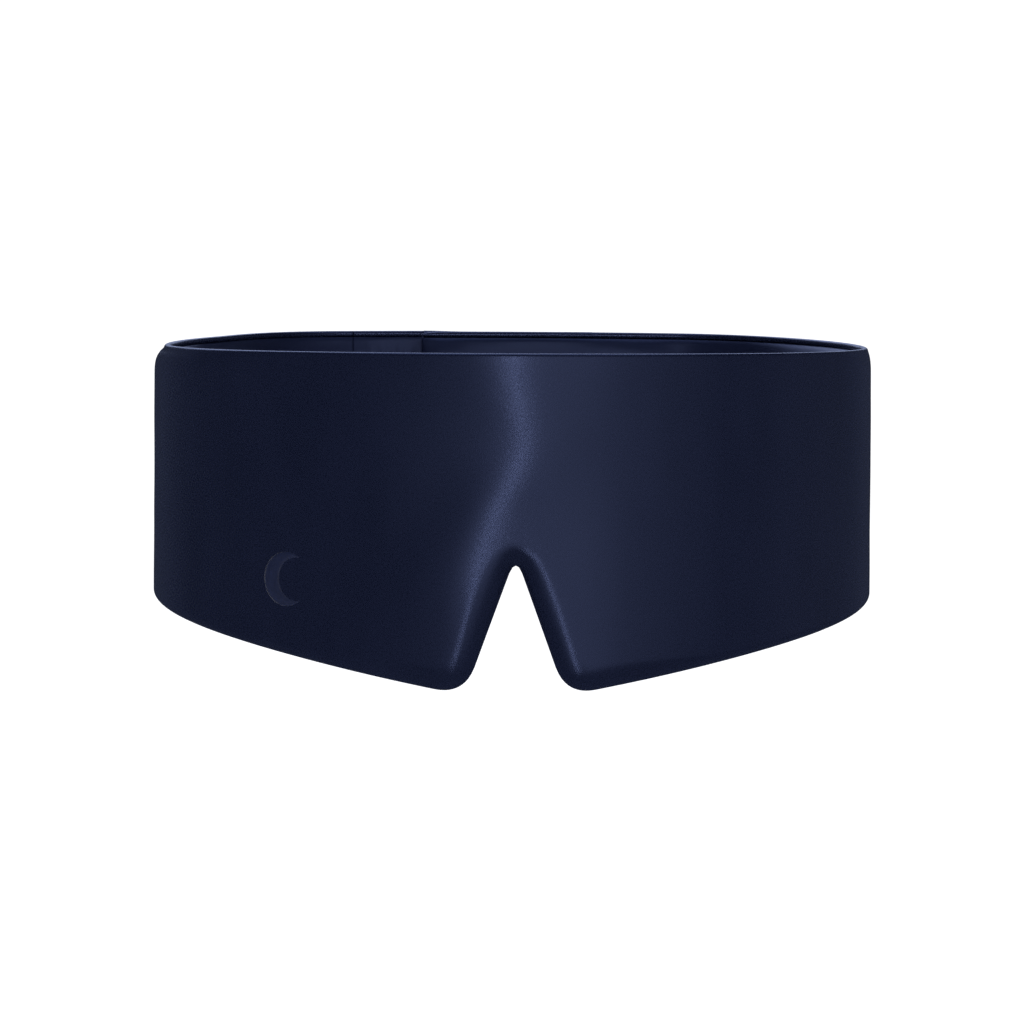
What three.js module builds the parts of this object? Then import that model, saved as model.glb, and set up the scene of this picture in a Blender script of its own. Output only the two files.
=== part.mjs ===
// Wrap-around padded sleep eye mask, closed into its loop.
//
// A wide satin front with a nose notch runs into two side wings that taper towards the back. The right
// wing ends under the left one, and a satin tab with a hook patch closes over a loop panel. A short
// elastic gusset carries the tab. Every layer is a separate solid: outer cover, blackout layer, padding,
// lining, gusset, tab and tapes.
//
// Millimetres. +Z is up, -Y is the front, +X is to the right of someone who looks at the front. The
// origin is on the middle line of the head opening, level with the wearer's eyes.

import * as THREE from "three";

// The loop, seen from above, at the middle of the wall.
const LOOP_RADIUS = 91; // front half, a half circle
const BACK_DEPTH = 82; // from the loop's centre to the back
const BACK_FLAT = 45; // half the straight stretch at the back
const SIDE_PULL = 42; // how far the side runs on straight behind the temple
const CORNER_PULL = 24; // how far the back runs on straight before it turns

// The band, seen from the side. Heights start at the lowest point of the lobes beside the nose.
const RIM = 87; // top edge
const RIM_DIP = 1; // the top edge sits this much lower at the temples
const EYE_LINE = 38; // height that becomes z = 0

// The lower edge as corners: distance round the loop from the nose, height, and how far from the corner
// its rounding starts.
const LOWER_EDGE = [
  [0, 35.1, 5.2],
  [13, -0.8, 8],
  [95, 14.2, 45],
  [212, 24.5, 40],
  [340, 26.6, 0],
];

// The wall, from the middle outwards.
const WALL = 4; // half its thickness
const WALL_TAIL_RIGHT = 2.5; // half, at the back of the right wing
const WALL_TAIL_LEFT = 2.8; // half, at the back of the left wing
const SEAM_HALF = 1.1; // half, at a sewn edge
const SHEET = 0.5; // one layer of satin or interlining
const GAP = 0.3; // kept between neighbours
const LAYER = SHEET + GAP;
const LOWER_PUFF = 9; // the padding reaches full thickness this far from the lower edge
const UPPER_PUFF = 4;
const END_PUFF = 8;
const HEM = 0.2; // the cover's turned hem below the roll of the top edge
const CORE_INSET = 3; // padding stops this far inside a sewn edge

// Rows of vertices up the wall: distances from the lower edge, then distances below the top edge's roll.
const LOWER_ROWS = [0, 1, CORE_INSET, 6, LOWER_PUFF];
const UPPER_ROWS = [UPPER_PUFF, CORE_INSET, 1, 0];

// Where the wings start and end, round the loop from the nose.
const TEMPLE = 160;
const LEFT_TAIL_X = -43;
const RIGHT_TAIL_X = -24;
const STEP_OUT = 6.9; // the left wing's tail stands this far outside the right one's

// The closure. Its layers are distances outwards from the middle of the right wing's wall.
const LOOP_PANEL = { x0: -21, x1: 43.5, z0: 34, z1: 80, near: 2.8, thick: 1.2, round: 3 };
const HOOK_PATCH = { x0: 2, x1: 27, z0: 38.5, z1: 75.5, near: 4.3, thick: 1, round: 2 };
const TAB = { x0: -21.7, x1: 33, z0: 27.5, z1: 86.6, round: 11 };
const TAB_LINING_AT = HOOK_PATCH.near + HOOK_PATCH.thick + GAP;
const TAB_CORE_AT = TAB_LINING_AT + LAYER;
const TAB_CORE = 1; // its thickness
const TAB_COVER_AT = TAB_CORE_AT + TAB_CORE + GAP;
const TAB_OUTSIDE = TAB_COVER_AT + SHEET;
const ROOT_LENGTH = 5.8; // the sewn root of the tab
const TAB_CORE_INSET = 2.5;
const STITCH = 0.8; // width of a line of stitches
const STITCH_HEIGHT = 0.4;
const STITCH_INSET = 2;
const ELASTIC_HEIGHT = 38;

// The embroidered crescent and the care label.
const MOON = { s: -61, z: 28, radius: 7, bite: 5.6, shift: 3.4 };
const LABEL = { x0: 4, x1: 26, z0: 45, z1: 60, thick: 0.4, round: 1 };

const colours = {
  satin: { color: 0x1a1f38, roughness: 0.42 },
  lining: { color: 0x181d33, roughness: 0.5 },
  blackout: { color: 0x0b0b0d, roughness: 0.9 },
  padding: { color: 0xd8d5cc, roughness: 1 },
  elastic: { color: 0x14182b, roughness: 0.8 },
  tape: { color: 0x12162a, roughness: 0.85 },
  thread: { color: 0x262c4e, roughness: 0.5 },
  label: { color: 0xd9d8d4, roughness: 0.7 },
};
const materials = Object.fromEntries(
  Object.entries(colours).map(([name, look]) => [
    name,
    new THREE.MeshStandardMaterial({ ...look, metalness: 0 }),
  ]),
);

const mask = new THREE.Group();
mask.position.z = -EYE_LINE;

function add(name, geometry, material) {
  const mesh = new THREE.Mesh(geometry, material);
  mesh.name = name;
  mask.add(mesh);
  return mesh;
}

// ---- The loop and its lower edge ----

const plan = new THREE.Path()
  .moveTo(0, BACK_DEPTH)
  .lineTo(-BACK_FLAT, BACK_DEPTH)
  .bezierCurveTo(-BACK_FLAT - CORNER_PULL, BACK_DEPTH, -LOOP_RADIUS, SIDE_PULL, -LOOP_RADIUS, 0)
  .absarc(0, 0, LOOP_RADIUS, Math.PI, 2 * Math.PI)
  .bezierCurveTo(LOOP_RADIUS, SIDE_PULL, BACK_FLAT + CORNER_PULL, BACK_DEPTH, BACK_FLAT, BACK_DEPTH)
  .lineTo(0, BACK_DEPTH);
const HALF_LOOP = plan.getLength() / 2;

// A point on the wall: s is the distance round the loop from the nose, positive to the right.
function place(s, out, z) {
  const t = THREE.MathUtils.euclideanModulo(0.5 + s / (2 * HALF_LOOP), 1);
  const p = plan.getPoint(t);
  const along = plan.getTangent(t);
  return new THREE.Vector3(p.x + out * along.y, p.y - out * along.x, z);
}

// Distance round the loop of a place on the straight back, for the wing on that side.
const onRightWing = (x) => HALF_LOOP - x;
const onLeftWing = (x) => -HALF_LOOP - x;

// A line through corners, each rounded off.
function roundedLine(corners) {
  const at = corners.map(([s, z]) => new THREE.Vector2(s, z));
  const mirrored = new THREE.Vector2(-at[1].x, at[1].y);
  const towards = (from, to, far) => from.clone().add(to.clone().sub(from).setLength(far));
  const line = new THREE.Path();
  at.slice(0, -1).forEach((corner, i) => {
    const into = towards(corner, i ? at[i - 1] : mirrored, corners[i][2]);
    const out = towards(corner, at[i + 1], corners[i][2]);
    if (i) line.lineTo(into.x, into.y);
    else line.moveTo(into.x, into.y);
    line.quadraticCurveTo(corner.x, corner.y, out.x, out.y);
  });
  const end = at.at(-1);
  return line.lineTo(end.x, end.y);
}
const EDGE_STEPS = 1200;
const edgePoints = roundedLine(LOWER_EDGE)
  .getSpacedPoints(EDGE_STEPS)
  .filter((p) => p.x >= 0);

function lowerEdge(s) {
  const from = Math.abs(s);
  const i = Math.max(1, edgePoints.findIndex((p) => p.x >= from));
  const a = edgePoints[i - 1];
  const b = edgePoints[i];
  const share = THREE.MathUtils.clamp((from - a.x) / (b.x - a.x), 0, 1);
  return THREE.MathUtils.lerp(a.y, b.y, share);
}
const rimHeight = (s) => RIM - RIM_DIP * Math.sin((Math.PI * s) / HALF_LOOP) ** 2;

function fromLowerEdge(s, z) {
  let best = Infinity;
  for (const p of edgePoints) {
    best = Math.min(best, Math.hypot(Math.abs(s) - p.x, z - p.y), Math.hypot(Math.abs(s) + p.x, z - p.y));
  }
  return best;
}

// ---- The padded wall ----

const puff = (far, width) => (far >= width ? 1 : Math.sqrt(1 - (1 - Math.max(far, 0) / width) ** 2));

// Half the wall's thickness, pinched at the sewn edges. end is where a wing's tail is sewn shut.
function halfWall(s, z, end) {
  const tail = s > 0 ? WALL_TAIL_RIGHT : WALL_TAIL_LEFT;
  const full = THREE.MathUtils.lerp(WALL, tail, THREE.MathUtils.smoothstep(Math.abs(s), 170, 232));
  const lower = puff(fromLowerEdge(s, z), LOWER_PUFF);
  const upper = puff(rimHeight(s) - SEAM_HALF - z, UPPER_PUFF);
  const tip = end === undefined ? 1 : puff(Math.abs(end - s), END_PUFF);
  return SEAM_HALF + (full - SEAM_HALF) * lower * upper * tip;
}

// The left wing's tail steps outwards, over the end of the right wing.
function middle(s) {
  return s < 0 ? STEP_OUT * THREE.MathUtils.smoothstep(-s, 192, onRightWing(-LEFT_TAIL_X) - 4) : 0;
}

// A bent panel: a box with one column of vertices for each s, and one row for each [outer distance, outer
// height, inner distance, inner height] that section(s) lists.
function panel(columns, section) {
  const rows = columns.map(section);
  const across = columns.length - 1;
  const up = rows[0].length - 1;
  const geometry = new THREE.BoxGeometry(1, 1, 1, across, up, 1);
  const position = geometry.getAttribute("position");
  for (let i = 0; i < position.count; i++) {
    const column = Math.round((position.getX(i) + 0.5) * across);
    const row = Math.round((position.getY(i) + 0.5) * up);
    const [outer, outerZ, inner, innerZ] = rows[column][row];
    const s = columns[column];
    const [out, z] = position.getZ(i) > 0 ? [outer, outerZ] : [inner, innerZ];
    const p = place(s, middle(s) + out, z);
    position.setXYZ(i, p.x, p.y, p.z);
  }
  return geometry;
}

// The height at which a column is this far from the lower edge.
function heightFrom(s, far) {
  let low = lowerEdge(s);
  let high = low + 60;
  for (let i = 0; i < 20 && far > 0; i++) {
    const z = (low + high) / 2;
    if (fromLowerEdge(s, z) < far) low = z;
    else high = z;
  }
  return low;
}

// The heights of a column's rows, from inset off the lower edge to inset below the roll.
function heights(s, inset) {
  const lower = LOWER_ROWS.filter((far) => far >= inset).map((far) => heightFrom(s, far));
  const upper = UPPER_ROWS.filter((far) => far >= inset).map((far) => rimHeight(s) - SEAM_HALF - far);
  return [...lower, (lower.at(-1) + upper[0]) / 2, ...upper];
}

// The outer cover rises from the lower seam and rolls over the top edge to a short hem inside.
const ROLL_STEPS = 3;
function coverSection(end) {
  return (s) => {
    const rollZ = rimHeight(s) - SEAM_HALF;
    const face = heights(s, 0).map((z) => {
      const out = halfWall(s, z, end);
      return [out, z, out - SHEET, z];
    });
    const roll = Array.from({ length: ROLL_STEPS }, (_, i) => {
      const angle = (Math.PI * (i + 1)) / ROLL_STEPS;
      const ring = (radius) => [radius * Math.cos(angle), rollZ + radius * Math.sin(angle)];
      return [...ring(SEAM_HALF), ...ring(SEAM_HALF - SHEET)];
    });
    const hem = [-SEAM_HALF, rollZ - HEM, -SEAM_HALF + SHEET, rollZ - HEM];
    return [...face, ...roll, hem];
  };
}

// The lining stops below the cover's hem.
function liningSection(end) {
  return (s) => {
    const top = rimHeight(s) - SEAM_HALF - HEM - GAP;
    return heights(s, 0).map((height) => {
      const z = Math.min(height, top);
      const inside = -halfWall(s, z, end);
      return [inside + SHEET, z, inside, z];
    });
  };
}

// A core layer, between the distances that from and to give for the wall's half thickness.
function coreSection(from, to, end) {
  return (s) =>
    heights(s, CORE_INSET).map((z) => {
      const half = halfWall(s, z, end);
      return [to(half), z, from(half), z];
    });
}

function steps(from, to, length) {
  const count = Math.ceil(Math.abs(to - from) / length);
  return Array.from({ length: count + 1 }, (_, i) => THREE.MathUtils.lerp(from, to, i / count));
}

const NOTCH_ZONE = 22; // columns stand closer together here
const frontHalf = [...steps(0, NOTCH_ZONE, 2.8), ...steps(NOTCH_ZONE, TEMPLE - GAP / 2, 11.6).slice(1)];
const frontColumns = [...frontHalf.slice(1).map((s) => -s).reverse(), ...frontHalf];

// A wing's columns, with a few close together where the tail is pinched shut.
const PINCH = [END_PUFF, 3.5, 1, 0];
const wingColumns = (length) => [
  ...steps(TEMPLE + GAP / 2, length - PINCH[0], 10.5),
  ...PINCH.slice(1).map((far) => length - far),
];
const rightEnd = onRightWing(RIGHT_TAIL_X);
const leftEnd = onLeftWing(LEFT_TAIL_X);
const rightColumns = wingColumns(rightEnd);
const leftColumns = wingColumns(-leftEnd).map((s) => -s).reverse();
const paddedColumns = (columns, end) => columns.filter((s) => Math.abs(end - s) > CORE_INSET);

// Where one layer ends and the next may start, for a wall of this half thickness.
const insideLining = (half) => -half + LAYER;
const insideCover = (half) => half - LAYER;
const insideBlackout = (half) => half - 2 * LAYER;

function makeFront() {
  const blackout = coreSection((half) => insideCover(half) - SHEET, insideCover);
  const padding = coreSection(insideLining, insideBlackout);
  add("front_outer_cover", panel(frontColumns, coverSection()), materials.satin);
  add("front_lining", panel(frontColumns, liningSection()), materials.lining);
  add("front_blackout_layer", panel(frontColumns, blackout), materials.blackout);
  add("front_padding", panel(frontColumns, padding), materials.padding);
}

function makeWing(side, columns, end) {
  const padding = coreSection(insideLining, insideCover, end);
  add(side + "_wing_cover", panel(columns, coverSection(end)), materials.satin);
  add(side + "_wing_lining", panel(columns, liningSection(end)), materials.lining);
  add(side + "_wing_padding", panel(paddedColumns(columns, end), padding), materials.padding);
}

// ---- Flat pieces on the straight back ----

function roundedRectangle({ x0, x1, z0, z1, round }, inset = 0, leftRound = round) {
  const [a, b, c, d] = [x0 + inset, x1 - inset, z0 + inset, z1 - inset];
  const r = Math.max(round - inset, 0.5);
  const l = Math.max(leftRound - inset, 0.5);
  return new THREE.Shape()
    .moveTo(a + l, c)
    .lineTo(b - r, c)
    .absarc(b - r, c + r, r, -Math.PI / 2, 0)
    .lineTo(b, d - r)
    .absarc(b - r, d - r, r, 0, Math.PI / 2)
    .lineTo(a + l, d)
    .absarc(a + l, d - l, l, Math.PI / 2, Math.PI)
    .lineTo(a, c + l)
    .absarc(a + l, c + l, l, Math.PI, 1.5 * Math.PI);
}

// A shape drawn in x and height, standing behind the back's wall from near to near + thick.
function standing(shape, near, thick) {
  return new THREE.ExtrudeGeometry(shape, { depth: thick, bevelEnabled: false, curveSegments: 5 })
    .rotateX(Math.PI / 2)
    .translate(0, BACK_DEPTH + near + thick, 0);
}

// A line of stitches round the inside of a patch's edge.
function stitchRing(patch, near) {
  const ring = roundedRectangle(patch, STITCH_INSET - STITCH / 2);
  ring.holes.push(roundedRectangle(patch, STITCH_INSET + STITCH / 2));
  return standing(ring, near, STITCH_HEIGHT);
}

function makeLoopPanel() {
  const outside = LOOP_PANEL.near + LOOP_PANEL.thick;
  const panelSolid = standing(roundedRectangle(LOOP_PANEL), LOOP_PANEL.near, LOOP_PANEL.thick);
  add("loop_panel", panelSolid, materials.tape);
  add("loop_panel_stitching", stitchRing(LOOP_PANEL, outside + GAP), materials.thread);
}

function makeCareLabel() {
  const near = -WALL_TAIL_RIGHT - GAP - LABEL.thick;
  add("care_label", standing(roundedRectangle(LABEL), near, LABEL.thick), materials.label);
}

// The gusset is an elastic webbing inside a tube of satin. It joins the left wing's tail to the tab.
function makeGusset() {
  const x0 = LEFT_TAIL_X + GAP;
  const x1 = TAB.x0 - GAP - ROOT_LENGTH - GAP;
  const length = x1 - x0;
  const centreY = BACK_DEPTH + TAB_CORE_AT + TAB_CORE / 2;
  const centreZ = (TAB.z0 + TAB.z1) / 2;
  const webbing = new THREE.BoxGeometry(length, TAB_CORE, ELASTIC_HEIGHT, 1, 1, 1);
  add("strap_elastic", webbing.translate((x0 + x1) / 2, centreY, centreZ), materials.elastic);

  const rectangle = (halfY, halfZ) =>
    new THREE.Shape().moveTo(-halfY, -halfZ).lineTo(halfY, -halfZ).lineTo(halfY, halfZ).lineTo(-halfY, halfZ);
  const innerY = TAB_CORE / 2 + GAP;
  const innerZ = (TAB.z1 - TAB.z0) / 2 - SHEET;
  const tube = rectangle(innerY + SHEET, innerZ + SHEET);
  tube.holes.push(rectangle(innerY, innerZ));
  // Drawn in y and z and pushed along x.
  const turn = new THREE.Matrix4().makeBasis(
    new THREE.Vector3(0, 1, 0),
    new THREE.Vector3(0, 0, 1),
    new THREE.Vector3(1, 0, 0),
  );
  const sleeve = new THREE.ExtrudeGeometry(tube, { depth: length, bevelEnabled: false, steps: 1 });
  add("strap_sleeve", sleeve.applyMatrix4(turn).translate(x0, centreY, centreZ), materials.satin);
}

function makeTab() {
  const rootThick = TAB_OUTSIDE - TAB_LINING_AT;
  const root = { ...TAB, x0: TAB.x0 - GAP - ROOT_LENGTH, x1: TAB.x0 - GAP, round: 0.5 };
  add("tab_root", standing(roundedRectangle(root), TAB_LINING_AT, rootThick), materials.satin);
  const outline = (inset) => roundedRectangle(TAB, inset, 0.5);
  add("tab_lining", standing(outline(0), TAB_LINING_AT, SHEET), materials.lining);
  add("tab_stiffener", standing(outline(TAB_CORE_INSET), TAB_CORE_AT, TAB_CORE), materials.elastic);
  add("tab_cover", standing(outline(0), TAB_COVER_AT, SHEET), materials.satin);
  const patch = standing(roundedRectangle(HOOK_PATCH), HOOK_PATCH.near, HOOK_PATCH.thick);
  add("hook_patch", patch, materials.tape);
  add("hook_patch_stitching", stitchRing(HOOK_PATCH, TAB_OUTSIDE + GAP), materials.thread);
}

// A crescent of thread, laid on the cover.
function makeMoon() {
  const apart = MOON.shift;
  const reach = (apart ** 2 + MOON.radius ** 2 - MOON.bite ** 2) / (2 * apart);
  const outerAngle = Math.acos(reach / MOON.radius);
  const innerAngle = Math.acos((reach - apart) / MOON.bite);
  const crescent = new THREE.Shape()
    .absarc(0, 0, MOON.radius, outerAngle, 2 * Math.PI - outerAngle)
    .absarc(apart, 0, MOON.bite, 2 * Math.PI - innerAngle, innerAngle, true);
  const geometry = new THREE.ExtrudeGeometry(crescent, {
    depth: STITCH_HEIGHT,
    bevelEnabled: false,
    curveSegments: 10,
  });
  const position = geometry.getAttribute("position");
  for (let i = 0; i < position.count; i++) {
    const s = MOON.s + position.getX(i);
    const z = MOON.z + position.getY(i);
    const p = place(s, halfWall(s, z) + GAP + position.getZ(i), z);
    position.setXYZ(i, p.x, p.y, p.z);
  }
  add("embroidered_crescent", geometry, materials.thread);
}

makeFront();
makeMoon();
makeWing("left", leftColumns, leftEnd);
makeWing("right", rightColumns, rightEnd);
makeLoopPanel();
makeCareLabel();
makeGusset();
makeTab();

export default mask;
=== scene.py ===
"""A padded satin sleep mask, closed into its loop, in a plain pale studio.

Every cloth piece is a grid that follows the band: s is the distance round the loop from the
nose, z the height, and out the distance from the middle of the padded wall. Lengths are in
metres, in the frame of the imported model.
"""

import math

import bmesh
import bpy
import numpy as np
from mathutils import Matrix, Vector


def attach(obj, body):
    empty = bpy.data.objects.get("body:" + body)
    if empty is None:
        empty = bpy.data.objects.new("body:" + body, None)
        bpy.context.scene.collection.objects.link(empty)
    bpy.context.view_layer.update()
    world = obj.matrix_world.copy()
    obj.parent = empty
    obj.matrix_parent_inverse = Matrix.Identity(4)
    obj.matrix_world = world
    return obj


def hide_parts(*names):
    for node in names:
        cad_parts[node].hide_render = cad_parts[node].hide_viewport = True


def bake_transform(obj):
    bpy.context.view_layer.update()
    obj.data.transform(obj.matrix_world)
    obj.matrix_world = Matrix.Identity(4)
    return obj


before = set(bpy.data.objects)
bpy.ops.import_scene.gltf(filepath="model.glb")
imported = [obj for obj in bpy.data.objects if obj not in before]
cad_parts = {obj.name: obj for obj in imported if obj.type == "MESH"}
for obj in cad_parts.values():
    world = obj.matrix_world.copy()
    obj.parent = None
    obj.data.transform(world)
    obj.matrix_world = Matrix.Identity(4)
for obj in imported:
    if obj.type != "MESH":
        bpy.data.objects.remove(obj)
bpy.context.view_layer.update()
rng = np.random.default_rng(7)

# The loop, seen from above, at the middle of the wall.
LOOP_RADIUS = 0.091
BACK_DEPTH = 0.082
BACK_FLAT = 0.045
SIDE_PULL = 0.042
CORNER_PULL = 0.024

# The band, seen from the side.
RIM = 0.087
RIM_DIP = 0.001
EYE_LINE = 0.038
LOWER_EDGE = [
    (0, 0.0351, 0.0052),
    (0.013, -0.0008, 0.008),
    (0.095, 0.0142, 0.045),
    (0.212, 0.0245, 0.04),
    (0.34, 0.0266, 0),
]

# The padded wall.
WALL = 0.004
WALL_TAIL_RIGHT = 0.0025
WALL_TAIL_LEFT = 0.0028
TAPER = (0.17, 0.232)
ROLL = 0.0009
NOTCH_PUFF = 0.0068
LOWER_PUFF = 0.003
UPPER_PUFF = 0.008
END_PUFF = 0.006
CLOTH = 0.0004

# Pieces round the loop.
SIDE_SEAM = 0.1505
LEFT_TAIL_X = -0.043
RIGHT_TAIL_X = -0.024
STEP_OUT = 0.0069
STEP_START = 0.192

# The closure. A patch with a root is cut square and left open at its left end.
TAB = {
    "x": (-0.0235, 0.033),
    "z": (0.0273, 0.0868),
    "round": 0.011,
    "out": 0.0069,
    "half": 0.0013,
    "root": True,
}
# The tab is this much deeper at its root, below and above, to meet the gusset.
ROOT_FLARE = (0.0018, 0.0002)
ROOT_RUN = 0.05  # a patch with a root is shaped as if it ran on by this much
GUSSET_X = (-0.043, -0.0235)
LOOP_PANEL = {"x": (-0.021, 0.0435), "z": (0.034, 0.08), "round": 0.003, "out": 0.0031, "half": 0.0006}
HOOK_PATCH = {"x": (0.002, 0.027), "z": (0.0385, 0.0755), "round": 0.002, "out": 0.0053, "half": 0.0004}
LABEL = {"x": (0.004, 0.026), "z": (0.045, 0.06), "round": 0.0004, "out": -0.0029, "half": 0.00012}
MOON = {"s": -0.061, "z": 0.028, "radius": 0.007, "bite": 0.0056, "shift": 0.0034}


# ---- Numbers ----

def smoothstep(x, low, high):
    t = np.clip((np.asarray(x, float) - low) / (high - low), 0, 1)
    return t * t * (3 - 2 * t)


def lerp(a, b, t):
    return a + (b - a) * t


def bezier(points, t):
    """Points along a Bezier curve of any degree."""
    level = [np.asarray(p, float)[None, :] + 0 * t[:, None] for p in points]
    while len(level) > 1:
        level = [a + (b - a) * t[:, None] for a, b in zip(level, level[1:])]
    return level[0]


# ---- The loop ----

def loop_table():
    """Distances from the nose along the right half of the loop, with its points and tangents."""
    turn = np.linspace(0, math.pi / 2, 900)
    arc = LOOP_RADIUS * np.stack([np.sin(turn), -np.cos(turn)], 1)
    corner = [
        (LOOP_RADIUS, 0),
        (LOOP_RADIUS, SIDE_PULL),
        (BACK_FLAT + CORNER_PULL, BACK_DEPTH),
        (BACK_FLAT, BACK_DEPTH),
    ]
    side = bezier(corner, np.linspace(0, 1, 900)[1:])
    back = np.stack([np.linspace(BACK_FLAT, -0.08, 300)[1:], np.full(299, BACK_DEPTH)], 1)
    points = np.concatenate([arc, side, back])
    far = np.concatenate([[0], np.cumsum(np.linalg.norm(np.diff(points, axis=0), axis=1))])
    tangent = np.gradient(points, far, axis=0)
    tangent /= np.linalg.norm(tangent, axis=1)[:, None]
    tangent[0] = (1, 0)
    return far, points, tangent


LOOP_S, LOOP_POINTS, LOOP_TANGENTS = loop_table()
FAR_SIDE = slice(1200, None)  # the end of the table, along which x falls
HALF_LOOP = float(np.interp(0, -LOOP_POINTS[FAR_SIDE, 0], LOOP_S[FAR_SIDE]))
RIGHT_END = HALF_LOOP - RIGHT_TAIL_X
LEFT_END = -(HALF_LOOP + LEFT_TAIL_X)


def place(s, out, z):
    """Points in the frame, for arrays of s, out and z."""
    s, out, z = np.broadcast_arrays(np.asarray(s, float), out, z)
    side = np.where(s < 0, -1.0, 1.0)
    x, y = (np.interp(abs(s), LOOP_S, LOOP_POINTS[:, k]) for k in (0, 1))
    tx, ty = (np.interp(abs(s), LOOP_S, LOOP_TANGENTS[:, k]) for k in (0, 1))
    return np.stack([side * (x + out * ty), y - out * tx, z - EYE_LINE], -1)


def towards(a, b, far):
    """The point that is this far from a on the way to b."""
    return a + (b - a) / np.linalg.norm(b - a) * far


def outline():
    """The lower edge as a fine line of (s, z), for s from the nose outwards."""
    at = [np.array(corner[:2]) for corner in LOWER_EDGE]
    line = []
    for i in range(len(at) - 1):
        before = at[i - 1] if i else at[1] * (-1, 1)
        reach = LOWER_EDGE[i][2]
        bend = [towards(at[i], before, reach), at[i], towards(at[i], at[i + 1], reach)]
        line.append(bezier(bend, np.linspace(0, 1, 60)))
    line.append(at[-1][None, :])
    line = np.concatenate(line)
    far = np.concatenate([[0], np.cumsum(np.linalg.norm(np.diff(line, axis=0), axis=1))])
    even = np.linspace(0, far[-1], 1400)
    line = np.stack([np.interp(even, far, line[:, k]) for k in (0, 1)], 1)
    return line[line[:, 0] >= 0]


EDGE = outline()


def lower_edge(s):
    return np.interp(np.abs(s), EDGE[:, 0], EDGE[:, 1])


def rim_height(s):
    return RIM - RIM_DIP * np.sin(math.pi * np.asarray(s) / HALF_LOOP) ** 2


def edge_distance(s, z):
    """How far each point is from the lower edge."""
    s = np.abs(s)
    corners = EDGE[(EDGE[:, 0] > s.min() - 0.02) & (EDGE[:, 0] < s.max() + 0.02)][::4]
    best = np.full(s.shape, np.inf)
    for (x, y), (dx, dy) in zip(corners, np.diff(corners, axis=0)):
        share = np.clip(((s - x) * dx + (z - y) * dy) / (dx * dx + dy * dy), 0, 1)
        best = np.minimum(best, np.hypot(s - x - share * dx, z - y - share * dy))
    return best


def height_from(s, far):
    """The height at which each column is this far from the lower edge."""
    low = lower_edge(s)
    high = low + 0.06
    for _ in range(13):
        z = (low + high) / 2
        outside = edge_distance(s, z) < far
        low, high = np.where(outside, z, low), np.where(outside, high, z)
    return low


def soften(s, values, width):
    """A row of values, averaged along s over this width."""
    weight = np.exp(-0.5 * ((s[:, None] - s[None, :]) / width) ** 2)
    weight *= np.gradient(s)[None, :]
    return weight @ values / weight.sum(1)


def middle(s):
    """How far the wall's middle stands outside the loop: the left tail steps over the right one."""
    return np.where(s < 0, STEP_OUT * smoothstep(-s, STEP_START, -LEFT_END - 0.004), 0.0)


# ---- The padded wall as rows ----

LOW_ROWS = 15
MID_ROWS = 22
TOP_ROWS = 9
ROLL_ROWS = 12


def full_half(s):
    tail = np.where(s > 0, WALL_TAIL_RIGHT, WALL_TAIL_LEFT)
    half = lerp(WALL, tail, smoothstep(np.abs(s), *TAPER))
    return lerp(half, TAB["half"], smoothstep(-s, -LEFT_END, -LEFT_END + 0.014))


def lower_puff(s):
    """How far from the lower edge the wall is full: the padding beside the nose rounds off more slowly."""
    return lerp(NOTCH_PUFF, LOWER_PUFF, smoothstep(np.abs(s), 0.02, 0.06))


def rim_bend(s):
    """How far the outer face leans inwards at the rim."""
    return 0.0002 + 0.0023 * smoothstep(-s, 0.06, 0.14) + 0.0006 * smoothstep(s, 0.06, 0.14)


def wall_rows(s):
    """Heights, half thicknesses and outward shifts, for each column and row of one face of the wall."""
    low_turn = np.linspace(0, math.pi / 2, LOW_ROWS)
    low = []
    for turn in low_turn:
        far = lower_puff(s) * (1 - math.cos(turn))
        row = height_from(s, far) if turn else lower_edge(s)
        low.append(soften(s, row, 0.0003 + 0.34 * far.max()) if far.max() > 0.002 else row)
    low = np.stack(low, 1)
    below = np.linspace(1, 0, TOP_ROWS)[None, :]
    top = (rim_height(s) - ROLL)[:, None] - UPPER_PUFF * below
    between = np.linspace(0, 1, MID_ROWS + 2)[1:-1][None, :]
    mid = lerp(low[:, -1:], top[:, :1], between)
    z = np.concatenate([low, mid, top], 1)
    full = full_half(s)[:, None]
    half = np.concatenate([
        full * np.sin(low_turn)[None, :],
        full * np.ones_like(mid),
        ROLL + (full - ROLL) * (1 - (1 - below) ** 2),
    ], 1)
    bend = np.minimum(rim_bend(s)[:, None], full - ROLL)
    lean = (full - ROLL) * (1 - below) ** 2 - bend * (1 - below) ** 4
    shift = np.concatenate([np.zeros_like(low), np.zeros_like(mid), lean], 1)
    return z, half, shift


def columns(start, stop, step, fine=()):
    """Places along s, closer together inside each (centre, reach, step) of fine."""
    out = [start]
    while out[-1] < stop - 1e-9:
        here = [f[2] for f in fine if abs(out[-1] - f[0]) < f[1]]
        out.append(min(stop, out[-1] + min(here + [step])))
    return np.array(out)


# ---- Meshes ----

def link(name, mesh):
    piece = bpy.data.objects.new(name, mesh)
    bpy.context.scene.collection.objects.link(piece)
    return piece


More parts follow.
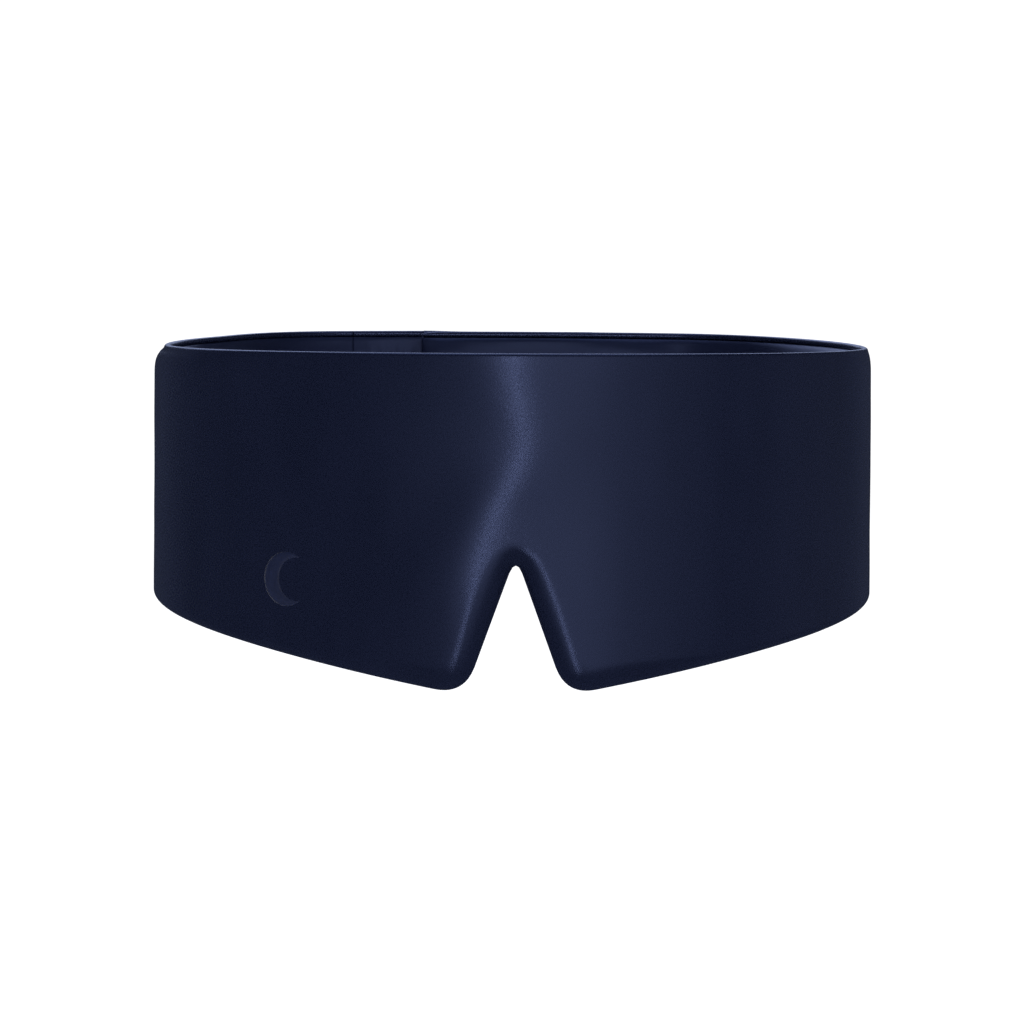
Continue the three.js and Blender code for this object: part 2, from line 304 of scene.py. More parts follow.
def grid_mesh(name, points, uv=None, closed_rows=False):
    """A mesh from a grid of points, with a UV map that measures the cloth in metres."""
    ni, nj = points.shape[:2]
    index = np.arange(ni * nj).reshape(ni, nj)
    if closed_rows:
        index = np.concatenate([index, index[:, :1]], 1)
    quads = np.stack([index[:-1, :-1], index[1:, :-1], index[1:, 1:], index[:-1, 1:]], -1).reshape(-1, 4)
    mesh = bpy.data.meshes.new(name)
    mesh.from_pydata(points.reshape(-1, 3).tolist(), [], quads.tolist())
    mesh.update()
    if uv is not None:
        layer = mesh.uv_layers.new(name="cloth")
        loops = np.zeros(len(mesh.loops), int)
        mesh.loops.foreach_get("vertex_index", loops)
        layer.data.foreach_set("uv", uv.reshape(-1, 2)[loops].ravel())
    mesh.polygons.foreach_set("use_smooth", [True] * len(mesh.polygons))
    return link(name, mesh)


def apply_modifiers(piece):
    """The piece's mesh with its modifiers baked in."""
    bpy.context.view_layer.update()
    graph = bpy.context.evaluated_depsgraph_get()
    mesh = bpy.data.meshes.new_from_object(piece.evaluated_get(graph))
    old = piece.data
    piece.modifiers.clear()
    piece.data = mesh
    bpy.data.meshes.remove(old)
    mesh.name = piece.name
    return piece


def thicken(piece):
    """The piece with the thickness of cloth, added behind its surface."""
    solid = piece.modifiers.new("cloth", "SOLIDIFY")
    solid.thickness = CLOTH
    solid.offset = -1
    solid.use_rim = True
    solid.use_even_offset = False
    return apply_modifiers(piece)


def cloth_uv(s, points):
    """Cloth coordinates: the distance round the loop and the length up the section."""
    step = np.linalg.norm(np.diff(points, axis=1), axis=2)
    up = np.concatenate([np.zeros((len(s), 1)), np.cumsum(step, 1)], 1)
    return np.stack([np.broadcast_to(s[:, None], up.shape), up], -1)


# ---- Cloth simulation ----

SIM_FRAMES = 24
COARSE_STEP = 0.0042
COARSE_ROWS = 16
SOFT_LIMIT = 0.0012  # a shift well over this size is held to the limits below

# How much longer the cloth is than its place, the pressure behind it, and how far it may move.
LINING_SETTLES = (0.035, -0.15, 0.0009)
COVER_SETTLES = (0.004, 0.25, 0.00022)


def relax(points, pinned, expand, pressure):
    """Where a coarse grid of cloth settles when it is let go with some of its points held."""
    piece = grid_mesh("settling", points)
    held = piece.vertex_groups.new(name="held")
    held.add(np.flatnonzero(pinned.ravel()).tolist(), 1.0, "REPLACE")
    cloth = piece.modifiers.new("Cloth", "CLOTH")
    settings = cloth.settings
    settings.quality = 8
    settings.mass = 0.08
    settings.vertex_group_mass = "held"
    settings.tension_stiffness = 20
    settings.compression_stiffness = 20
    settings.bending_stiffness = 0.6
    settings.shrink_min = -expand
    settings.use_pressure = True
    settings.uniform_pressure_force = pressure
    settings.effector_weights.gravity = 0
    cloth.collision_settings.use_collision = False
    cloth.point_cache.frame_end = SIM_FRAMES
    scene = bpy.context.scene
    for number in range(1, SIM_FRAMES + 1):
        scene.frame_set(number)
    settled = piece.evaluated_get(bpy.context.evaluated_depsgraph_get()).to_mesh()
    co = np.zeros(points.size, np.float32)
    settled.vertices.foreach_get("co", co)
    mesh = piece.data
    bpy.data.objects.remove(piece)
    bpy.data.meshes.remove(mesh)
    scene.frame_set(1)
    return co.reshape(points.shape).astype(float)


def blur_weights(fine, coarse):
    """Smooth weights that carry values from coarse places to fine ones."""
    width = 0.75 * np.gradient(coarse)[None, :]
    weight = np.exp(-0.5 * ((fine[:, None] - coarse[None, :]) / width) ** 2)
    return weight / weight.sum(1)[:, None]


def spread_over(places, count):
    """The indices of about this many of the places, evenly apart."""
    wanted = np.searchsorted(places, np.linspace(places[0], places[-1], count))
    return np.unique(wanted.clip(0, len(places) - 1))


def settle(s, out, z, inside):
    """How far simulated cloth moves outwards: held at its seams, it ripples or swells."""
    up = np.concatenate([[0], np.cumsum(np.hypot(np.diff(out, axis=1), np.diff(z, axis=1)).mean(0))])
    keep_i = spread_over(s, max(6, int(np.ptp(s) / COARSE_STEP)))
    keep_j = spread_over(up, COARSE_ROWS)
    coarse = np.ix_(keep_i, keep_j)
    points = place(s[keep_i][:, None], middle(s)[keep_i][:, None] + out[coarse], z[coarse])
    outward = place(s[keep_i], 1.0, 0) - place(s[keep_i], 0.0, 0)
    pinned = np.zeros(points.shape[:2], bool)
    pinned[:, [0, -1]] = pinned[[0, -1], :] = True
    if not inside:
        pinned[:, -4:] = True
    ease, pressure, limit = LINING_SETTLES if inside else COVER_SETTLES
    moved = relax(points, pinned, ease, pressure)
    shift = limit * np.tanh(((moved - points) * outward[:, None, :]).sum(-1) / SOFT_LIMIT)
    fine = blur_weights(s, s[keep_i]) @ shift @ blur_weights(up, up[keep_j]).T
    edge = smoothstep(up, 0, 0.006) * (1 - smoothstep(up, up[-1] - 0.005, up[-1] - 0.0005))
    ends = smoothstep(s, s[0], s[0] + 0.006) * (1 - smoothstep(s, s[-1] - 0.006, s[-1]))
    return fine * edge[None, :] * ends[:, None]


# ---- Cover and lining ----

WRAP_ROWS = 6  # rows of the cover that turn under the lower edge to the inside
GROOVE = 0.0003
ROLL_TURN = 222  # degrees that the rim rolls through


def tip_share(s, end):
    """How full the wall is near a tail's turned end, from 0 to 1."""
    if end is None:
        return np.ones_like(s)
    far = np.clip(np.abs(end - s) / END_PUFF, 0, 1)
    return np.sqrt(np.clip(1 - (1 - far) ** 2, 0, 1))


def seam_pinch(s, seams):
    """The padding is drawn in at a sewn seam."""
    pinch = np.ones_like(s)
    for seam in seams:
        pinch -= 0.18 * np.exp(-(((s - seam) / 0.0011) ** 2)) + 0.05 * np.exp(-(((s - seam) / 0.005) ** 2))
    return pinch


def section(s, end, seams):
    """The rows of cover and lining, as (out, z) grids."""
    z, half, shift = wall_rows(s)
    tip = tip_share(s, end)[:, None]
    pinch = seam_pinch(s, seams)[:, None]
    half = half * tip * pinch
    shift = shift * tip
    radius = ROLL * np.maximum(tip, 0.3)
    angle = np.radians(np.linspace(0, ROLL_TURN, ROLL_ROWS + 1)[1:])[None, :]
    centre = (rim_height(s) - ROLL)[:, None]
    roll_out = radius * np.cos(angle)
    roll_z = centre + radius * np.sin(angle)
    wrap = slice(WRAP_ROWS, 0, -1)
    cover_out = np.concatenate([-half[:, wrap], half + shift, roll_out + shift[:, -1:]], 1)
    cover_z = np.concatenate([z[:, wrap], z, roll_z], 1)
    cover_out[:, 0] += GROOVE * tip[:, 0]
    top = np.minimum(z, centre - 0.0006)
    lining_out = shift[:, WRAP_ROWS:] - half[:, WRAP_ROWS:]
    lining_z = top[:, WRAP_ROWS:]
    lining_out[:, -1] += GROOVE
    lining_out[:, 0] += GROOVE * tip[:, 0]
    return (cover_out, cover_z), (lining_out, lining_z)


def cloth_piece(side, name, s, end=None, seams=(), shape=None):
    """The outer cover or the lining of one stretch of the band."""
    inside = name == "lining"
    cover, lining = section(s, end, seams)
    out, z = lining if inside else cover
    if shape:
        out = out + shape(s[:, None], z, inside)
    out = out + settle(s, out, z, inside)
    points = place(s[:, None], middle(s)[:, None] + out, z)
    if inside:
        points = points[:, ::-1]
    return thicken(grid_mesh(f"{side}_{name}_cloth", points, cloth_uv(s, points)))


def cloth_pair(side, s, end=None, seams=(), shape=None):
    return [cloth_piece(side, name, s, end, seams, shape) for name in ("cover", "lining")]


# ---- Materials ----

def hex_colour(text):
    """A linear colour from an sRGB one."""
    srgb = np.array([int(text[k:k + 2], 16) for k in (0, 2, 4)]) / 255
    linear = np.where(srgb <= 0.04045, srgb / 12.92, ((srgb + 0.055) / 1.055) ** 2.4)
    return (*[float(c) for c in linear], 1.0)


class Nodes:
    """A short way to build a material's node tree."""

    def __init__(self, name):
        self.material = bpy.data.materials.new(name)
        self.material.use_nodes = True
        self.tree = self.material.node_tree
        self.shader = self.tree.nodes["Principled BSDF"]

    def add(self, kind, links=None, **settings):
        node = self.tree.nodes.new(kind)
        for key, value in settings.items():
            if hasattr(node, key):
                setattr(node, key, value)
            else:
                node.inputs[key].default_value = value
        for socket, source in (links or {}).items():
            self.tree.links.new(source, node.inputs[socket])
        return node

    def stretched(self, scale):
        """Cloth coordinates, scaled so that one unit is one repeat of the pattern."""
        uv = self.add("ShaderNodeUVMap", uv_map="cloth")
        mapping = self.add("ShaderNodeMapping", {"Vector": uv.outputs["UV"]})
        mapping.inputs["Scale"].default_value = scale
        return mapping.outputs["Vector"]

    def noise(self, vector, detail=2.0):
        node = self.add("ShaderNodeTexNoise", {"Vector": vector}, Scale=1.0, Detail=detail, Roughness=0.5)
        return node.outputs["Fac"]

    def mix(self, factor, a, b):
        node = self.add("ShaderNodeMix", {"Factor": factor}, data_type="RGBA")
        node.inputs["A"].default_value = a
        node.inputs["B"].default_value = b
        return node.outputs["Result"]

    def math(self, operation, a, b):
        node = self.add("ShaderNodeMath", operation=operation)
        for socket, value in zip(node.inputs, (a, b)):
            if isinstance(value, bpy.types.NodeSocket):
                self.tree.links.new(value, socket)
            else:
                socket.default_value = value
        return node.outputs["Value"]

    def ramp(self, factor, low, high):
        node = self.add("ShaderNodeMapRange", {"Value": factor})
        node.inputs["To Min"].default_value = low
        node.inputs["To Max"].default_value = high
        return node.outputs["Result"]

    def set(self, **inputs):
        for key, value in inputs.items():
            socket = self.shader.inputs[key.replace("_", " ")]
            if isinstance(value, bpy.types.NodeSocket):
                self.tree.links.new(value, socket)
            else:
                socket.default_value = value
        return self.material

    def bump(self, height, distance):
        node = self.add("ShaderNodeBump", {"Height": height}, Strength=1.0, Distance=distance)
        self.tree.links.new(node.outputs["Normal"], self.shader.inputs["Normal"])


def satin(name, dark, light, rough):
    """Warp-faced satin: fine upright threads, a slow change of tone and a bluish gloss."""
    n = Nodes(name)
    warp = n.noise(n.stretched((3400, 1500, 1)), 1.0)
    weft = n.noise(n.stretched((1400, 3000, 1)), 1.0)
    tone = n.noise(n.stretched((70, 24, 1)), 3.0)
    weave = n.math("ADD", n.math("MULTIPLY", warp, 0.7), n.math("MULTIPLY", weft, 0.3))
    blend = n.math("ADD", n.math("MULTIPLY", weave, 0.7), n.math("MULTIPLY", tone, 0.3))
    n.set(Base_Color=n.mix(n.ramp(blend, -0.6, 1.6), hex_colour(dark), hex_colour(light)))
    n.set(Roughness=n.ramp(weave, rough - 0.05, rough + 0.05))
    n.bump(weave, 0.000015)
    return n.set(Specular_Tint=(0.4, 0.5, 1, 1), IOR=1.8, Specular_IOR_Level=0.75)


def tape(name, dark, light, scale):
    """Matt woven or brushed tape."""
    n = Nodes(name)
    rib = n.noise(n.stretched((scale, scale, 1)), 3.0)
    n.set(Base_Color=n.mix(rib, hex_colour(dark), hex_colour(light)))
    n.bump(rib, 0.00012)
    return n.set(Roughness=0.85, Sheen_Weight=0.1, Sheen_Roughness=0.5, Specular_IOR_Level=0.2)


def thread(name, colour, light):
    n = Nodes(name)
    twist = n.noise(n.stretched((6000, 2500, 1)), 1.0)
    n.set(Base_Color=n.mix(twist, hex_colour(colour), hex_colour(light)))
    n.bump(twist, 0.00003)
    return n.set(Roughness=0.38, Sheen_Weight=0.2, Sheen_Roughness=0.3)


def wear(piece, material):
    piece.data.materials.clear()
    piece.data.materials.append(material)
    return piece


SATIN = satin("navy_satin", "0b0f1c", "171b2e", 0.275)
LINING = satin("navy_lining", "0c1020", "161b32", 0.45)
THREAD = thread("navy_thread", "141b34", "212a4c")
LOOP_TAPE = tape("loop_tape", "0c1020", "1c2238", 2600)
HOOK_TAPE = tape("hook_tape", "0b0e1c", "151a2e", 1500)
LABEL_TAPE = tape("label_tape", "8f9198", "b9bac0", 2400)


# ---- The padded band ----

SEAM_FINE = 0.004
CREASE_HEIGHTS = np.array([0.015, 0.032, 0.04, 0.053, 0.066, 0.087])
CREASE_PLACES = np.array([-0.019, -0.0154, -0.0133, -0.0039, 0.0041, -0.0043])
CREASE_SIZES = np.array([0.002, 0.002, 0.0015, 0.001, 0.0008, 0.0007])
CREASE_WIDTH = 0.0135


def centre_crease(s, z, inside):
    """The mask has been folded over the nose: a low soft ridge wanders up the middle of the cover."""
    if inside:
        return np.zeros_like(z)
    height = np.linspace(0, 0.09, 60)

    def smooth(values):
        row = soften(height, np.interp(height, CREASE_HEIGHTS, values), 0.005)
        return np.interp(z, height, row)

    size = smooth(CREASE_SIZES) * smoothstep(z, -0.004, 0.032)
    return size * np.exp(-(((s - smooth(CREASE_PLACES)) / CREASE_WIDTH) ** 2))


def make_front():
    fine = [(0, 0.024, 0.0008), (-SIDE_SEAM, SEAM_FINE, 0.0006), (SIDE_SEAM, SEAM_FINE, 0.0006)]
    s = columns(-SIDE_SEAM, SIDE_SEAM, 0.0017, fine)
    s = (s - s[::-1]) / 2
    cover, lining = cloth_pair("front", s, seams=(-SIDE_SEAM, SIDE_SEAM), shape=centre_crease)
    for piece in (cover, lining):
        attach(piece, "front_mask")
    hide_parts("front_outer_cover", "front_blackout_layer", "front_padding")
    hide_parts("front_lining")
    return cover, lining


def make_wing(side, end, closed):
    """closed says that the tail ends in a turned edge. The other one runs on into the gusset."""
    length = abs(end)
    fine = [(SIDE_SEAM, SEAM_FINE, 0.0006), (length, 0.002, 0.0002), (length, 0.006, 0.0005)]
    s = columns(SIDE_SEAM, length, 0.0017, fine)
    if end < 0:
        s = -s[::-1]
    seam = math.copysign(SIDE_SEAM, end)
    cover, lining = cloth_pair(f"{side}_wing", s, end if closed else None, (seam,))
    for piece in (cover, lining):
        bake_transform(piece)
    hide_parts(f"{side}_wing_cover", f"{side}_wing_padding")
    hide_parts(f"{side}_wing_lining")
    return cover, lining


def make_gusset():
    """The stretch of gathered satin over the elastic, between the left tail and the tab."""
    start, stop = -(HALF_LOOP + GUSSET_X[1]), -(HALF_LOOP + GUSSET_X[0])
    s = columns(start, stop, 0.0005)

    def gathers(s, z, inside):
        along = smoothstep(s, start, start + 0.004) * (1 - smoothstep(s, stop - 0.003, stop))
        up = smoothstep(z, 0.027, 0.034) * (1 - smoothstep(z, 0.078, 0.085))
        wander = 0.0004 * np.sin(z * 310) + 0.0003 * np.sin(z * 730 + 1)
        return (-0.00015 if inside else 0.0003) * along * up * np.sin((s + wander) * 2 * math.pi / 0.0031)

    cover, lining = cloth_pair("gusset", s, shape=gathers)
    for piece in (cover, lining):
        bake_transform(piece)
    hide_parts("strap_sleeve", "strap_elastic")
    return cover, lining


front_cover, front_lining = make_front()
left_cover, left_lining = make_wing("left", LEFT_END, False)
right_cover, right_lining = make_wing("right", RIGHT_END, True)
gusset_cover, gusset_lining = make_gusset()
for piece in (front_cover, left_cover, right_cover, gusset_cover):
    wear(piece, SATIN)
for piece in (front_lining, left_lining, right_lining, gusset_lining):
    wear(piece, LINING)


# ---- The closure ----

def on_back(x, out, z):
    """Points on the straight back of the loop."""
    x, out, z = np.broadcast_arrays(np.asarray(x, float), out, z)
    return np.stack([x, BACK_DEPTH + out, z - EYE_LINE], -1)


def inset_of(patch, x, z):
    """How far inside a rounded rectangle each point is."""
    (x0, x1), (z0, z1), r = patch["x"], patch["z"], patch["round"]
    if patch.get("root"):
        x0 -= ROOT_RUN
    qx = np.abs(x - (x0 + x1) / 2) - (x1 - x0) / 2 + r
    qz = np.abs(z - (z0 + z1) / 2) - (z1 - z0) / 2 + r
    return r - np.hypot(np.maximum(qx, 0), np.maximum(qz, 0)) - np.minimum(np.maximum(qx, qz), 0)


def crowded(count):
    """Shares from 0 to 1, closer together at both ends."""
    t = np.linspace(0, 1, count)
    return 0.35 * t + 0.65 * (1 - np.cos(math.pi * t)) / 2


def patch_grid(patch, nx, nz):
    """x and z of a grid that fills a rounded rectangle."""
    (x0, x1), (z0, z1), r = patch["x"], patch["z"], patch["round"]
    x = lerp(x0, x1, crowded(nx))
    flare = np.zeros(nx)
    if patch.get("root"):
        flare = 1 - smoothstep(x, x0, x0 + 0.012)
        x0 -= ROOT_RUN
    over = np.maximum(np.abs(x - (x0 + x1) / 2) - (x1 - x0) / 2 + r, 0)
    cut = r - np.sqrt(np.maximum(r ** 2 - over ** 2, 0))
    low = z0 + cut - ROOT_FLARE[0] * flare
    high = z1 - cut + ROOT_FLARE[1] * flare
    z = lerp(low[:, None], high[:, None], crowded(nz)[None, :])
    return np.broadcast_to(x[:, None], z.shape), z


def merge_doubles(piece):
    mesh = bmesh.new()
    mesh.from_mesh(piece.data)
    bmesh.ops.remove_doubles(mesh, verts=mesh.verts, dist=2e-6)
    bmesh.ops.recalc_face_normals(mesh, faces=mesh.faces)
    mesh.to_mesh(piece.data)
    mesh.free()
    return piece


def pad(name, patch, nx, nz, edge, texture=None):
    """A flat padded piece on the back: two faces that meet at its rounded edge.

    texture gives what is added to the outer and to the inner face.
    """
    x, z = patch_grid(patch, nx, nz)
    inset = inset_of(patch, x, z)
    turn = np.clip(inset / edge, 0, 1)
    half = patch["half"] * np.sqrt(1 - (1 - turn) ** 2)
    outer = patch["out"] + half
    inner = patch["out"] - half
    if texture:
        up, down = texture(x, z, inset)
        outer, inner = outer + up, inner + down
    ring = np.concatenate([on_back(x, outer, z), on_back(x, inner, z)[:, ::-1][:, 1:-1]], 1)
    flat = np.concatenate([np.stack([x, z], -1), np.stack([x, z], -1)[:, ::-1][:, 1:-1]], 1)
    return merge_doubles(grid_mesh(name, ring, flat, closed_rows=True))


def rounded_path(patch, inset):
    """Points along a rounded rectangle's edge, moved in by inset, and the path's length.

    A tab's root is left out.
    """
    (x0, x1), (z0, z1) = patch["x"], patch["z"]
    r = max(patch["round"] - inset, 0.0006)
    x0, x1, z0, z1 = x0 + inset, x1 - inset, z0 + inset, z1 - inset
    corners = [(x1 - r, z0 + r, -90), (x1 - r, z1 - r, 0), (x0 + r, z1 - r, 90), (x0 + r, z0 + r, 180)]
    first = last = ((x0 + x1) / 2, z0)
    if patch.get("root"):
        corners = corners[:2]
        first, last = (x0, z0), (x0, z1)
    points = [first]
    for cx, cz, start in corners:
        turn = np.radians(np.linspace(start, start + 90, 12))
        points += list(zip(cx + r * np.cos(turn), cz + r * np.sin(turn)))
    points = np.array(points + [last])
    far = np.concatenate([[0], np.cumsum(np.linalg.norm(np.diff(points, axis=0), axis=1))])
    even = np.linspace(0, far[-1], 400)
    return np.stack([np.interp(even, far, points[:, k]) for k in (0, 1)], 1), far[-1]


# ---- Threads ----

def tubes(name, lines, radii, sides=6):
    """One mesh of many short closed threads. lines is (threads, points, 3), radii is (points,)."""
    count, length = lines.shape[:2]
    ahead = np.gradient(lines, axis=1)
    ahead /= np.linalg.norm(ahead, axis=2)[..., None] + 1e-12
    around = np.cross(ahead, np.array([0.31, 0.17, 0.93]))
    around /= np.linalg.norm(around, axis=2)[..., None]
    third = np.cross(ahead, around)
    angle = np.linspace(0, 2 * math.pi, sides, endpoint=False)
    ring = around[:, :, None] * np.cos(angle)[:, None] + third[:, :, None] * np.sin(angle)[:, None]
    points = lines[:, :, None] + ring * np.asarray(radii)[None, :, None, None]
    index = np.arange(count * length * sides).reshape(count, length, sides)
    turned = np.roll(index, -1, axis=2)
    quads = np.stack([index[:, :-1], turned[:, :-1], turned[:, 1:], index[:, 1:]], -1).reshape(-1, 4)
    caps = np.concatenate([index[:, 0, ::-1], index[:, -1]]).tolist()
    mesh = bpy.data.meshes.new(name)
    mesh.from_pydata(points.reshape(-1, 3).tolist(), [], quads.tolist() + caps)
    mesh.update()
    layer = mesh.uv_layers.new(name="cloth")
    loops = np.zeros(len(mesh.loops), int)
    mesh.loops.foreach_get("vertex_index", loops)
    along = np.broadcast_to(np.linspace(0, 0.002, length)[None, :, None], (count, length, sides))
    about = angle[None, None, :] * 0.0002 + np.arange(count)[:, None, None] * 0.0013
    uv = np.stack([np.broadcast_to(about, along.shape), along], -1).reshape(-1, 2)
    layer.data.foreach_set("uv", uv[loops].ravel())
    mesh.polygons.foreach_set("use_smooth", [True] * len(mesh.polygons))
    return link(name, mesh)


STITCH = 0.0026
STITCH_RADII = np.array([0.00012, 0.00021, 0.00024, 0.00021, 0.00012])


def stitches(name, path, length, surface, lift=0.00012):
    """Separate stitches along a path of (x, z), on the surface whose out is surface(x, z)."""
    count = max(2, int(round(length / STITCH)))
    at = np.linspace(0, 1, len(path))
    share = (np.arange(count)[:, None] + np.linspace(0.1, 0.88, 5)[None, :]) / count
    x, z = (np.interp(share, at, path[:, k]) for k in (0, 1))
    out = surface(x, z) + lift * np.array([-1.6, 0.5, 1, 0.5, -1.6])[None, :]
    return tubes(name, on_back(x, out, z), STITCH_RADII)


TAB_EDGE = 0.0026  # from the tab's edge to its row of stitches
PATCH_EDGE = 0.002  # the same on the hook patch and the loop panel
TAB_CUFF = 0.0022  # over this far its edge rounds off


def stitch_valley(inset):
    """How far the tab's face sinks along its row of stitches."""
    return 0.00022 * np.exp(-(((inset - TAB_EDGE) / 0.0006) ** 2))


def quilted(x, z, inset):
    """The tab's faces sink along its rows of stitches and crown slightly between them."""
    box = np.abs(inset_of(HOOK_PATCH, x, z) - PATCH_EDGE)
    crown = 0.00012 * smoothstep(inset, 0.004, 0.012)
    dip = stitch_valley(inset) + 0.00012 * np.exp(-((box / 0.0006) ** 2))
    return crown - dip, stitch_valley(inset)


def tab_face(sign):
    """The height of the tab's outer (1) or inner (-1) face, for stitches."""
    def surface(x, z):
        return TAB["out"] + sign * (TAB["half"] - 0.0002)
    return surface


def bends_with_tab(piece):
    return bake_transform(piece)


def make_tab():
    tab = pad("tab_cloth", TAB, 84, 64, TAB_CUFF, quilted)
    wear(tab, SATIN)
    bends_with_tab(tab)
    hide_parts("tab_cover", "tab_lining", "tab_stiffener", "tab_root")
    path, length = rounded_path(TAB, TAB_EDGE)
    for face, sign in (("outer", 1), ("inner", -1)):
        row = stitches(f"tab_edge_stitches_{face}", path, length, tab_face(sign), sign * 0.00012)
        bends_with_tab(wear(row, THREAD))
    path, length = rounded_path(HOOK_PATCH, PATCH_EDGE)
    box = stitches("tab_box_stitches", path, length, tab_face(1))
    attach(wear(box, THREAD), "closure_tab")
    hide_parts("hook_patch_stitching")


def make_hooks():
    """The hook patch: a thin woven base and rows of small moulded hooks that point at the loop panel."""
    base = pad("hook_patch_base", HOOK_PATCH, 30, 40, 0.0006)
    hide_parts("hook_patch")
    (x0, x1), (z0, z1) = HOOK_PATCH["x"], HOOK_PATCH["z"]
    pitch = 0.00135
    across = np.arange(x0 + 0.0014, x1 - 0.001, pitch)
    up = np.arange(z0 + 0.0014, z1 - 0.001, pitch)
    x, z = [grid.ravel() for grid in np.meshgrid(across, up)]
    clear = np.abs(inset_of(HOOK_PATCH, x, z) - PATCH_EDGE) > 0.0005
    x, z = x[clear], z[clear]
    lean = np.where(np.arange(len(x)) % 2, 1.0, -1.0)
    shape = np.array([(0, 0), (0, 0.32), (0.06, 0.5), (0.2, 0.58), (0.34, 0.48)]) * 1e-3
    low = HOOK_PATCH["out"] - HOOK_PATCH["half"] + 0.00008
    lines = on_back(x[:, None] + lean[:, None] * shape[None, :, 0], low - shape[None, :, 1], z[:, None])
    hooks = tubes("hook_patch_hooks", lines, np.array([0.12, 0.1, 0.09, 0.08, 0.06]) * 1e-3, 5)
    for piece in (base, hooks):
        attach(wear(piece, HOOK_TAPE), "closure_tab")


def pile(x, z, inset):
    """The loop panel's brushed face."""
    wave = np.sin(x * 5200) * np.sin(z * 4700 + 1.3 * np.sin(x * 1900))
    return 0.00008 * wave * smoothstep(inset, 0, 0.001), np.zeros_like(x)


def panel_face(x, z):
    """The height of the loop panel's face, for stitches."""
    return LOOP_PANEL["out"] + LOOP_PANEL["half"] + 0.0001


def make_loops():
    """The loop panel: a knitted base, small loops of yarn, and its row of stitches."""
    base = pad("loop_panel_base", LOOP_PANEL, 110, 80, 0.0009, pile)
    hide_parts("loop_panel")
    (x0, x1), (z0, z1) = LOOP_PANEL["x"], LOOP_PANEL["z"]
    count = 1500
    x = rng.uniform(x0 + 0.0008, x1 - 0.0008, count)
    z = rng.uniform(z0 + 0.0008, z1 - 0.0008, count)
    clear = np.abs(inset_of(LOOP_PANEL, x, z) - PATCH_EDGE) > 0.0004
    x, z = x[clear], z[clear]
    heading = rng.uniform(0, math.pi, len(x))[:, None]
    reach = rng.uniform(0.00022, 0.0004, len(x))[:, None]
    turn = np.linspace(0, math.pi, 6)[None, :]
    top = LOOP_PANEL["out"] + LOOP_PANEL["half"] - 0.0001
    across = reach * np.cos(turn)
    lines = on_back(
        x[:, None] + across * np.cos(heading),
        top + 0.9 * reach * np.sin(turn),
        z[:, None] + across * np.sin(heading),
    )
    loops = tubes("loop_panel_pile", lines, np.full(6, 0.00004), 4)
    for piece in (base, loops):
        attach(wear(piece, LOOP_TAPE), "right_wing")
    path, length = rounded_path(LOOP_PANEL, PATCH_EDGE)
    row = stitches("loop_panel_stitches", path, length, panel_face)
    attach(wear(row, THREAD), "right_wing")
    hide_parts("loop_panel_stitching")


LABEL_GAP = 0.00008


def lining_out(x, z):
    """The out of the right wing's lining, where it faces the head, at each point of the back."""
    out = np.empty(x.shape)
    for at in np.ndindex(x.shape):
        start = (x[at], BACK_DEPTH - 0.02, z[at] - EYE_LINE)
        out[at] = right_lining.ray_cast(start, (0, 1, 0))[1][1] - BACK_DEPTH
    return out


def label_face(x, z):
    """The out of the label's face, where it lies just clear of the lining."""
    return lining_out(x, z) - 2 * LABEL["half"] - LABEL_GAP


def curl(x, z, inset):
    """The label lies on the lining, and lifts a little along its free lower edge."""
    free = 1 - smoothstep(z, LABEL["z"][0], LABEL["z"][0] + 0.006)
    lift = label_face(x, z) + LABEL["half"] - LABEL["out"] - 0.0006 * free
    return lift, lift


def make_label():
    bpy.context.view_layer.update()
    label = pad("care_label_cloth", LABEL, 30, 24, 0.0003, curl)
    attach(wear(label, LABEL_TAPE), "right_wing")
    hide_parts("care_label")
    x = np.linspace(LABEL["x"][0] + 0.001, LABEL["x"][1] - 0.001, 40)
    path = np.stack([x, np.full(40, LABEL["z"][1] - 0.0014)], 1)
    row = stitches("care_label_stitches", path, float(np.ptp(x)), label_face, -0.00012)
    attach(wear(row, THREAD), "right_wing")


def make_moon():
    """A crescent of satin stitch: threads laid side by side from its outer to its inner edge."""
    radius, bite, shift = MOON["radius"], MOON["bite"], MOON["shift"]
    reach = (shift ** 2 + radius ** 2 - bite ** 2) / (2 * shift)
    outer_start, inner_start = math.acos(reach / radius), math.acos((reach - shift) / bite)
    count = 110
    t = np.linspace(0.012, 0.988, count)
    outer = lerp(outer_start, 2 * math.pi - outer_start, t)
    inner = lerp(inner_start, 2 * math.pi - inner_start, t)
    a = np.stack([radius * np.cos(outer), radius * np.sin(outer)], 1)
    b = np.stack([shift + bite * np.cos(inner), bite * np.sin(inner)], 1)
    across = np.linspace(0, 1, 9)[None, :]
    s = MOON["s"] + lerp(a[:, :1], b[:, :1], across)
    z = MOON["z"] + lerp(a[:, 1:], b[:, 1:], across)
    width = np.linalg.norm(a - b, axis=1)[:, None]
    crown = np.clip(width / 0.0035, 0.35, 1) * np.sin(math.pi * across) ** 0.6
    out = WALL - 0.0001 + 0.00035 * crown
    moon = tubes("embroidered_moon", place(s, out, z), np.full(9, 0.00019))
    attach(wear(moon, THREAD), "front_mask")
    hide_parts("embroidered_crescent")


make_tab()
make_hooks()
make_loops()
make_label()
make_moon()


# ---- Camera, light and studio ----

def aim(thing, at):
    thing.rotation_euler = (Vector(at) - thing.location).to_track_quat("-Z", "Y").to_euler()


